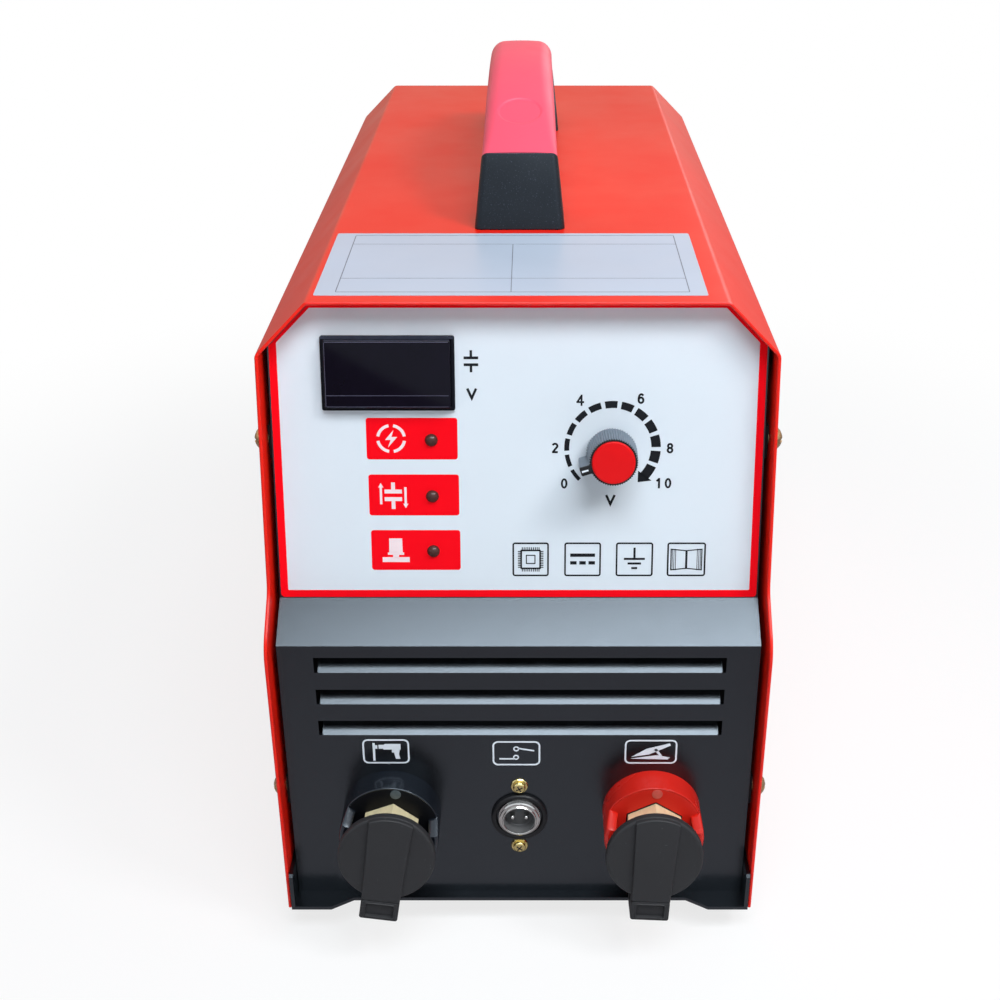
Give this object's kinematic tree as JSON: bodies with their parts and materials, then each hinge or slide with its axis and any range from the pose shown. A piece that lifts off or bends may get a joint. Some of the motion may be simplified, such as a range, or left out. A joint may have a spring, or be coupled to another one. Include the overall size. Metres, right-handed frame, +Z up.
{
  "type": "stud welder",
  "caption": "Capacitor-discharge stud welder: red sheet-steel case with carrying handle, sloped control panel, voltage dial and meter, and capped weld sockets.",
  "frame": {"origin": "middle of the footprint box, on the ground under the feet", "axes": "+Z up, -Y the front with the controls and weld sockets, +X to the right of someone facing the front"},
  "size_m": [0.1932, 0.4406, 0.309],
  "materials": {
    "red_paint": "gloss powder coat",
    "black_coat": "satin powder coat",
    "black_plastic": "satin",
    "red_plastic": "satin",
    "grey_plastic": "satin",
    "film": "printed film",
    "smoked_lens": "polished",
    "lamp": "clear tinted",
    "circuit_board": "matte",
    "steel": "zinc plated",
    "chrome": "polished",
    "brass": "plated",
    "copper": "bare copper",
    "rubber": "matte",
    "capacitor_sleeve": "sleeved",
    "insulation": "matte",
    "core_iron": "laminated",
    "aluminium": "extruded"
  },
  "bodies": {
    "machine": {"base_tray": "black_coat", "front_panel": "black_coat", "louvre_baffle": "insulation", "rear_panel": "black_coat", "cover": "red_paint", "cover_screws": "brass", "clip_nuts": "steel", "rubber_feet": "rubber", "foot_fasteners": "steel", "panel_overlay": "film", "meter_bezel": "black_plastic", "meter_lens": "smoked_lens", "meter_board": "circuit_board", "indicator_leds": "lamp", "control_board": "circuit_board", "board_standoffs": "steel", "potentiometer_body": "steel", "potentiometer_nut": "steel", "black_socket_body": "black_plastic", "black_socket_contact": "brass", "red_socket_body": "red_plastic", "red_socket_contact": "brass", "socket_nuts": "black_plastic", "cap_pins": "steel", "control_socket_shell": "chrome", "control_socket_ring": "black_plastic", "control_socket_insert": "black_plastic", "control_socket_pins": "steel", "control_socket_screws": "brass", "handle_front_post": "black_plastic", "handle_rear_post": "black_plastic", "handle_grip": "red_plastic", "handle_screws": "steel", "fan_frame": "black_plastic", "fan_guard": "steel", "fan_screws": "steel", "switch_body": "black_plastic", "cable_gland": "black_plastic", "gland_nut": "black_plastic", "earth_stud": "steel", "earth_nuts": "brass", "capacitors": "capacitor_sleeve", "capacitor_plate": "insulation", "plate_posts": "steel", "busbars": "copper", "bar_fasteners": "brass", "transformer_core": "core_iron", "transformer_winding": "copper", "heatsink": "aluminium", "thyristor_module": "black_plastic", "bridge_rectifier": "black_plastic", "discharge_resistor": "aluminium"},
    "knob": {"potentiometer_shaft": "steel", "knob_body": "grey_plastic", "knob_pointer": "black_plastic", "knob_cap": "red_plastic"},
    "black_cap": {"black_socket_cap": "rubber"},
    "red_cap": {"red_socket_cap": "rubber"},
    "rocker": {"switch_rocker": "red_plastic"},
    "fan_wheel": {"fan_rotor": "black_plastic"}
  },
  "joints": [
    {"name": "knob_turn", "type": "hinge", "parent": "machine", "child": "knob", "pos_m": [0.0338, -0.16561, 0.19782], "axis": [0, -0.9826, 0.1857], "range_deg": [-242, 28]},
    {"name": "black_cap_hinge", "type": "hinge", "parent": "machine", "child": "black_cap", "pos_m": [-0.05353, -0.21135, 0.0293], "axis": [0.9885, 0, -0.1513], "range_deg": [0, 90]},
    {"name": "red_cap_hinge", "type": "hinge", "parent": "machine", "child": "red_cap", "pos_m": [0.05009, -0.21135, 0.02904], "axis": [0.9985, 0, -0.0541], "range_deg": [0, 90]},
    {"name": "mains_rocker", "type": "hinge", "parent": "machine", "child": "rocker", "pos_m": [0.055, 0.19632, 0.082], "axis": [1, 0, 0], "range_deg": [0, 20]},
    {"name": "fan_spin", "type": "hinge", "parent": "machine", "child": "fan_wheel", "pos_m": [0, 0.18532, 0.172], "axis": [0, 1, 0], "continuous": true}
  ]
}
